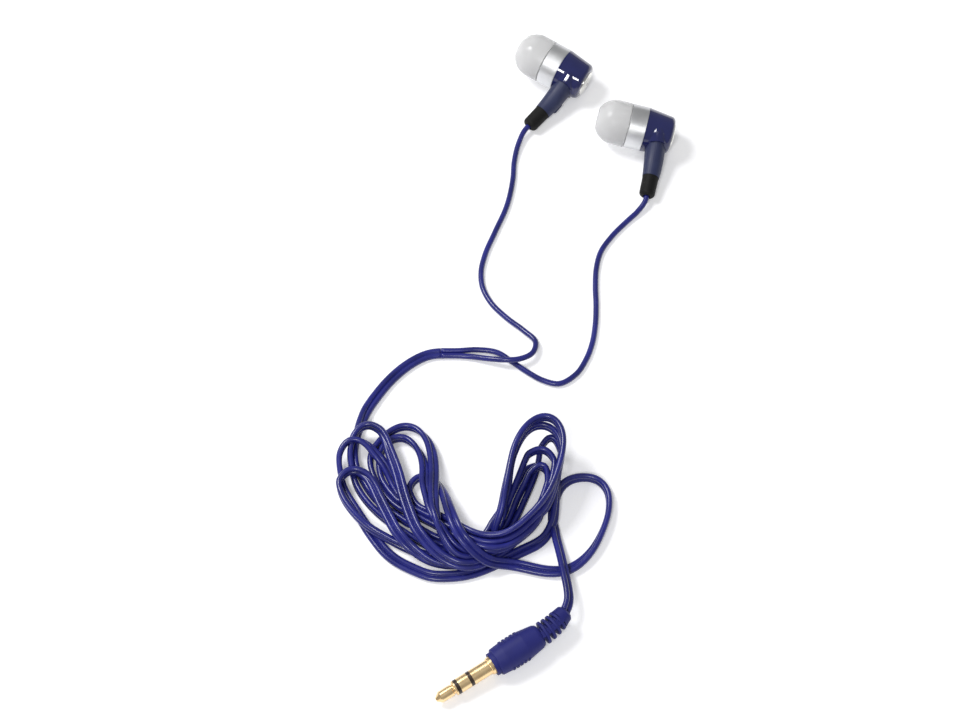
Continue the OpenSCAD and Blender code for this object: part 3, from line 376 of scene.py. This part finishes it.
def settle(path, turn, rounds):
    """Spreads the folded cord where its turns come too close. Each point of the two strands is
    drawn back to where the route puts it, is pushed off any other turn closer than one strand's
    thickness, stays one thickness from its partner, and never sinks into the table. How far it
    has moved is eased along the strand in every round, because the cord is too stiff for short
    kinks. There is no weight in it, and where many turns cross, some overlap is left."""
    count = len(path)
    path = open_bends(ease(path.copy(), 4), tightest_bend, 12)
    across = level_across(path)
    up = np.cross(across, unit(np.gradient(path, axis=0)))
    turn = ease(turn[:, None].copy(), 12)
    half = strand_r * (np.cos(turn) * across + np.sin(turn) * up)
    wanted = np.stack([path + half, path - half])
    points = wanted.copy()
    place = np.tile(np.arange(count), 2)
    held = (np.arange(count) < held_ends) | (np.arange(count) > count - held_ends)
    for time in range(rounds):
        if time % search_every == 0:
            a = points.reshape(-1, 3).astype(np.float32)
            near = (a ** 2).sum(1)[:, None] + (a ** 2).sum(1)[None] - 2 * a @ a.T < look_out ** 2
            near &= np.abs(place[:, None] - place[None]) > own_points
            first, second = np.nonzero(np.triu(near))
        moved = ease((points - wanted) * (kept_shift if time < 0.8 * rounds else 1), 2)
        points = wanted + moved
        flat = points.reshape(-1, 3)
        apart = flat[first] - flat[second]
        gap = np.linalg.norm(apart, axis=1, keepdims=True) + 1e-9
        push = 0.5 * np.maximum(0, 2 * strand_r - gap) * apart / gap
        total = np.zeros_like(flat)
        times = np.ones((2 * count, 1))
        np.add.at(total, first, push)
        np.add.at(total, second, -push)
        np.add.at(times, first, push.any(1)[:, None] * 0.4)
        np.add.at(times, second, push.any(1)[:, None] * 0.4)
        points = (flat + push_stride * total / times).reshape(2, -1, 3)
        middle = points.mean(0)
        way = unit(np.gradient(middle, axis=0))
        half = ease(points[0] - points[1], 1)
        half = strand_r * unit(half - (half * way).sum(1)[:, None] * way)
        points = np.stack([middle + half, middle - half])
        points[:, :, 2] = np.maximum(points[:, :, 2], strand_r)
        points[:, held] = wanted[:, held]
    return open_bends(points.mean(0), tightest_bend, 8), unit(points[0] - points[1])


twin = smooth_path(twin_route, coarse_spacing)
twin_path, twin_across = settle(twin[:, :3], np.radians(twin[:, 3]), 150)
fine_twin = smooth_path(np.hstack([twin_path, twin_across]), twin_spacing)
twin_path, twin_across = fine_twin[:, :3], fine_twin[:, 3:]
twin_way = unit(np.gradient(twin_path, axis=0))
twin_across = unit(twin_across - (twin_across * twin_way).sum(1)[:, None] * twin_way)
twin_path[:, 2] = np.maximum(twin_path[:, 2], strand_r * (1 + np.abs(twin_across[:, 2])))
# Half of the figure 8 runs round one strand, from near the web on one side to near it on the
# other, and the second half is its mirror image.
lobe_turn = np.radians(np.linspace(-168, 168, 12))
lobe = strand_r * np.stack([1 + np.cos(lobe_turn), np.sin(lobe_turn)], 1)
figure_8 = np.concatenate([lobe, -lobe])
twin_cord = skin("twin_cord", carry(figure_8, twin_path, twin_across))
twin_cord.data.materials.append(cord_pvc)
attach(twin_cord, "root")
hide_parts("cord_lead", "cord_hank", "cord_tail")


def dress(name, material):
    """Gives a CAD node its finish."""
    nodes[name].data.materials.clear()
    nodes[name].data.materials.append(material)


# ---------------------------------------------------------------------------
# Ear tips
# Liquid silicone, moulded in one piece: a ball-nosed skirt half a millimetre thick, hollow
# behind, and a thicker inner sleeve stretched over the sound tube's lip.
# ---------------------------------------------------------------------------
ear_places = {"left": (-8.2, 14.2, 5.7), "right": (13, -5.2, 5.7)}
ear_backs = {"left": (0.8586, -0.4957, -0.1305), "right": (0.9698, -0.2061, -0.1305)}
tip_rear, tip_front = -4.5, -12.9
skirt_r, skirt_bore_r, sleeve_r, sleeve_bore_r = 5.75, 5.25, 3.35, 2.55
sleeve_end, sleeve_chamfer = -6.2, 0.15
mouth_round, rim_round = 0.8, 0.25
dome_at, dome_squash = -7.97, 0.93


def arc(r, at, radius, start, end, count):
    """Points on a circle round (r, at), from one angle in degrees to another. Nought points out
    from the axis, and ninety points forwards along it. Ahead of the dome's centre, distances
    along the axis are squashed."""
    t = np.radians(np.linspace(start, end, count))
    points = np.stack([r + radius * np.cos(t), at - radius * np.sin(t)], 1)
    points[:, 1] = np.where(points[:, 1] < dome_at,
                            dome_at + dome_squash * (points[:, 1] - dome_at), points[:, 1])
    return points


def turned(name, profile, side, turns):
    """A closed profile of radius and distance along the earpiece's axis, turned about that axis:
    a point at angle a is the distance along, plus the radius times cos a and sin a in two
    directions at right angles to it."""
    back = unit(np.array(ear_backs[side]))
    flat = unit(np.cross(back, [0, 0, 1]))
    up = np.cross(flat, back)
    a = np.arange(turns) * math.tau / turns
    spoke = np.cos(a)[:, None] * flat + np.sin(a)[:, None] * up
    rings = (np.array(ear_places[side]) + profile[None, :, 1:] * back
             + profile[None, :, :1] * spoke[:, None])
    return skin(name, rings, joined=True)


lip = 60
lip_r = (skirt_r - mouth_round) * math.cos(math.radians(lip))
lip_at = dome_at - (skirt_r - mouth_round) * math.sin(math.radians(lip))
sleeve_top = math.degrees(math.acos(sleeve_r / skirt_bore_r))
tip_profile = np.concatenate([
    arc((skirt_r + skirt_bore_r) / 2, tip_rear - rim_round, rim_round, -180, 0, 7),
    arc(0, dome_at, skirt_r, 0, lip, 26),
    arc(lip_r, lip_at, mouth_round, lip, 180, 18)[1:],
    [[sleeve_bore_r - 0.4, tip_front + 1.25], [sleeve_bore_r - 0.1, tip_front + 1.4],
     [sleeve_bore_r, tip_front + 1.55], [sleeve_bore_r, sleeve_end - 0.2],
     [sleeve_bore_r + sleeve_chamfer, sleeve_end], [sleeve_r - sleeve_chamfer, sleeve_end],
     [sleeve_r, sleeve_end - sleeve_chamfer]],
    arc(0, dome_at, skirt_bore_r, sleeve_top, 0, 20)])
# Milky and only a little clear: light goes in and comes out softly, so the shading is gentle, and
# what lies behind the skin does no more than tint it.
silicone = finish("moulded_clear_silicone", "#FBFBFC", "#FEFEFF", 4, (0.18, 0.26), 0.5, 0.001,
                  Transmission_Weight=0.25, IOR=1.3, Subsurface_Weight=0.6,
                  Subsurface_Radius=(0.004, 0.004, 0.004), Subsurface_Scale=1.0)
for side in ("left", "right"):
    ear_tip = turned(side + "_silicone_tip", tip_profile, side, 96)
    ear_tip.data.materials.append(silicone)
    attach(ear_tip, side + "_tip")
    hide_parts(side + "_ear_tip")
    dress(side + "_ear_tip", silicone)

# ---------------------------------------------------------------------------
# Front rings
# Turned aluminium, bead blasted and clear anodised. The housing's spigot is glued in behind and
# the nozzle's flange in front, and a collar under the ear tip's skirt centres it.
# ---------------------------------------------------------------------------
# The blasting leaves tiny dents, so the light spreads wide with a fine sparkle in it.
blasted_aluminium = finish("bead_blasted_aluminium", "#D2D3D5", "#E2E3E4", 5, (0.38, 0.46), 0.3,
                           0.03, Metallic=1.0)
for side in ("left", "right"):
    dress(side + "_front_ring", blasted_aluminium)

# ---------------------------------------------------------------------------
# Nozzles and their mesh
# The sound tube is moulded ABS with a lip that holds the ear tip. A disc of etched steel mesh is
# dropped into its mouth and staked, and keeps wax out of the driver.
# ---------------------------------------------------------------------------
# Plain moulded ABS in a pale cool grey, which keeps the ear tip over it light.
nozzle_abs = finish("moulded_pale_abs", "#DDE2EC", "#E8ECF3", 4, (0.3, 0.42), 0.3, 0.006)
# Thin rolled steel with a faint directionless haze.
mesh_steel = finish("etched_steel_mesh", "#8E9093", "#A9ABAE", 1, (0.28, 0.4), 0.1, 0.004,
                    Metallic=1.0)
for side in ("left", "right"):
    dress(side + "_nozzle", nozzle_abs)
    dress(side + "_nozzle_mesh", mesh_steel)

# ---------------------------------------------------------------------------
# Drivers
# A 9.6 mm moving-coil unit sits in each ring behind the nozzle's flange: a film diaphragm with
# its copper coil, a nickel-plated magnet between a pole plate and a steel yoke, a moulded frame
# that holds them, and a small board where the cord is soldered on.
# ---------------------------------------------------------------------------
# Thin formed film: pale, glossy and a little see-through.
film = finish("formed_film", "#CFC3AC", "#E0D6C2", 1.5, (0.15, 0.25), 0.4, 0.003,
              Transmission_Weight=0.3)
# Enamelled wire 0.06 mm thick, too fine to tell apart here: a warm gloss with a fine unevenness.
copper = finish("enamelled_copper_wire", "#A9622F", "#C47A45", 0.8, (0.22, 0.34), 0.09, 0.02,
                Metallic=1.0)
# Pressed from zinc-plated steel: dull silver with soft blotches.
pressed_steel = finish("zinc_plated_steel", "#8C8E91", "#A3A5A8", 1.2, (0.3, 0.45), 0.12, 0.006,
                       Metallic=1.0)
# Bright nickel over sintered alloy: mirror-like with faint pits.
nickel = finish("nickel_plated_magnet", "#B9B5AC", "#CBC8C0", 1, (0.12, 0.22), 0.15, 0.004,
                Metallic=1.0)
# Glass-filled moulding: dark, matt and slightly cloudy.
driver_plastic = finish("glass_filled_nylon", "#222224", "#303033", 1, (0.5, 0.65), 0.15, 0.01)
# Green solder mask over glass laminate: a soft gloss that is slightly uneven.
board_green = finish("solder_masked_board", "#14492C", "#1C5C39", 0.7, (0.25, 0.4), 0.2, 0.008)
for side in ("left", "right"):
    dress(side + "_diaphragm", film)
    dress(side + "_voice_coil", copper)
    dress(side + "_pole_plate", pressed_steel)
    dress(side + "_yoke", pressed_steel)
    dress(side + "_magnet", nickel)
    dress(side + "_driver_frame", driver_plastic)
    dress(side + "_terminal_board", board_green)

# ---------------------------------------------------------------------------
# Rear housings
# ABS moulded in a polished steel tool, dark navy right through. Each tapers back from the ring,
# swells into a saddle round the stem's root, and has a recess for the disc behind.
# ---------------------------------------------------------------------------
# A polished mould leaves a wet gloss with a very slight waviness, so highlights are small,
# sharp and a little bent.
polished_abs = finish("polished_navy_abs", "#171C4E", "#1D2258", 5, (0.07, 0.12), 1.6, 0.01,
                      Coat_Weight=0.3, Coat_Roughness=0.05)
for side in ("left", "right"):
    dress(side + "_rear_housing", polished_abs)

# ---------------------------------------------------------------------------
# Rear discs
# Turned and bright-dipped aluminium pressings glued into the housings' recesses. One groove is
# turned near the edge, and a port in the centre lets the driver breathe.
# ---------------------------------------------------------------------------
# Turned and then bright-dipped: nearly white metal whose reflections are soft at their edges.
bright_disc = finish("bright_turned_aluminium", "#E2E1DB", "#EFEEE9", 4, (0.16, 0.24), 0.2, 0.003,
                     Metallic=1.0)
for side in ("left", "right"):
    dress(side + "_rear_disc", bright_disc)

# ---------------------------------------------------------------------------
# Stems
# Curved hollow horns moulded in ABS with a spark-eroded texture, glued into the housings' saddles.
# The left one carries a low pad, so that a finger can tell it from the right one.
# ---------------------------------------------------------------------------
# The fine even texture spreads the light: satin, paler at grazing angles.
satin_abs = finish("textured_navy_abs", "#1D2449", "#242C50", 4, (0.48, 0.56), 0.18, 0.012)
for side in ("left", "right"):
    dress(side + "_stem", satin_abs)

# ---------------------------------------------------------------------------
# Cable boots
# Short sleeves of black thermoplastic rubber, pushed onto the stems' ends, that keep the cord
# from kinking where it comes out.
# ---------------------------------------------------------------------------
# Rubber with a matt bloom and hardly any highlight.
boot_rubber = finish("black_moulded_rubber", "#0A0A0A", "#111111", 2, (0.6, 0.72), 0.2, 0.01,
                     Specular_IOR_Level=0.25)
for side in ("left", "right"):
    dress(side + "_cable_boot", boot_rubber)

# ---------------------------------------------------------------------------
# Plug
# Three turned brass contacts and two insulators nest on one axis, held by a hard inner mould. The
# brass is flashed with gold, the insulators are dark moulded resin, and soft PVC covers the mould.
# ---------------------------------------------------------------------------
# Turned and plated: warm and bright, with a very fine haze.
gilt_brass = finish("gold_flashed_brass", "#F0CC97", "#FADFAE", 3, (0.24, 0.32), 0.12, 0.004,
                    Metallic=1.0)
# Moulded resin, dark brown and slightly glossy.
resin = finish("moulded_brown_resin", "#2A1E14", "#3A2A1C", 1, (0.3, 0.45), 0.2, 0.006)
# Soft PVC moulded over the hard core in a spark-eroded mould: an even, velvety matt surface.
soft_pvc = finish("overmoulded_blue_pvc", "#181C64", "#1F2370", 5, (0.52, 0.62), 0.2, 0.015,
                  Specular_IOR_Level=0.35)
for name in ("plug_tip", "plug_ring", "plug_sleeve"):
    dress(name, gilt_brass)
for name in ("plug_front_insulator", "plug_rear_insulator"):
    dress(name, resin)
dress("plug_core", driver_plastic)
dress("plug_barrel", soft_pvc)

# ---------------------------------------------------------------------------
# Table and light
# A white sheet in an even white room, under two small soft lamps: the stronger one high on the
# left, the other in front. Further out the sheet glows a little, so that it stays white there.
# ---------------------------------------------------------------------------
reach = 1.5
floor_mesh = bpy.data.meshes.new("floor")
floor_mesh.from_pydata([(-reach, -reach, 0), (reach, -reach, 0), (reach, reach, 0),
                        (-reach, reach, 0)], [], [(0, 1, 2, 3)])
floor = bpy.data.objects.new("floor", floor_mesh)
scene.collection.objects.link(floor)
paper = bpy.data.materials.new("white_paper")
paper.use_nodes = True
tree = paper.node_tree
tree.nodes.remove(tree.nodes["Principled BSDF"])
matt = add(paper, "BsdfDiffuse", Color=linear("#F2F2F4"))
outward = add(paper, "VectorMath", operation="LENGTH")
tree.links.new(add(paper, "TexCoord").outputs["Object"], outward.inputs[0])
even = add(paper, "MapRange", Value=outward.outputs["Value"], From_Min=0.25, From_Max=1.2,
           To_Min=0.26, To_Max=0.75)
glow = add(paper, "Emission", Color=(1, 1, 1, 1), Strength=even.outputs["Result"])
rays = add(paper, "LightPath")
seen = add(paper, "Math", operation="ADD")
tree.links.new(rays.outputs["Is Camera Ray"], seen.inputs[0])
tree.links.new(rays.outputs["Is Glossy Ray"], seen.inputs[1])
seen_through = add(paper, "Math", operation="ADD", use_clamp=True)
tree.links.new(seen.outputs[0], seen_through.inputs[0])
tree.links.new(rays.outputs["Is Transmission Ray"], seen_through.inputs[1])
nothing = add(paper, "Emission", Color=(0, 0, 0, 1), Strength=0.0)
shown = add(paper, "MixShader", Fac=seen_through.outputs[0])
tree.links.new(nothing.outputs[0], shown.inputs[1])
tree.links.new(glow.outputs[0], shown.inputs[2])
both = add(paper, "AddShader")
tree.links.new(matt.outputs[0], both.inputs[0])
tree.links.new(shown.outputs[0], both.inputs[1])
tree.links.new(both.outputs[0], tree.nodes["Material Output"].inputs["Surface"])
floor_mesh.materials.append(paper)

world = bpy.data.worlds.new("room")
scene.world = world
world.use_nodes = True
air = world.node_tree.nodes["Background"]
air.inputs["Color"].default_value = (1, 1, 1, 1)
looked_at = add(world, "LightPath")
strength = add(world, "MapRange", Value=looked_at.outputs["Is Camera Ray"], To_Min=0.36,
               To_Max=1.0)
world.node_tree.links.new(strength.outputs["Result"], air.inputs["Strength"])


def lamp(name, power, size, place, aim):
    """A square lamp of the given size in metres, pointed at a spot."""
    light = bpy.data.lights.new(name, "AREA")
    light.energy = power
    light.size = size
    obj = bpy.data.objects.new(name, light)
    scene.collection.objects.link(obj)
    obj.location = place
    obj.rotation_euler = (Vector(aim) - Vector(place)).to_track_quat("-Z", "Y").to_euler()


middle = (-0.03, -0.07, 0)
lamp("key", 3.5, 0.24, (-0.4, 0.12, 0.6), middle)
lamp("front", 1.9, 0.13, (-0.16, -0.5, 0.62), middle)
